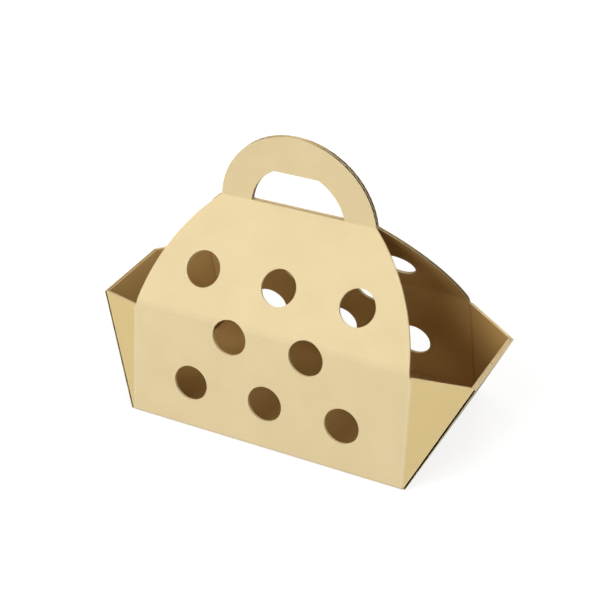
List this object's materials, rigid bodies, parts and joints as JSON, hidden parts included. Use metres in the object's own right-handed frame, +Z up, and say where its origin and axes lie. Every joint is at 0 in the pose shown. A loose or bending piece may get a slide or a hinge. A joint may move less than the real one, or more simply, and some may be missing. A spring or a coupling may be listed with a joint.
{
  "type": "folded cardboard fruit box",
  "caption": "Carry box folded from one corrugated sheet: holed panels lean together into handle loops, gusseted ends flare outwards, for carrying and showing fruit.",
  "frame": {"origin": "middle of the underside of the bottom, on the table", "axes": "+X along the length from end to end, +Y from the front panel to the back panel, +Z up"},
  "size_m": [0.4088, 0.183, 0.2974],
  "materials": {
    "kraft_board": "matte"
  },
  "bodies": {
    "root": {"carton": "kraft_board"}
  },
  "joints": []
}
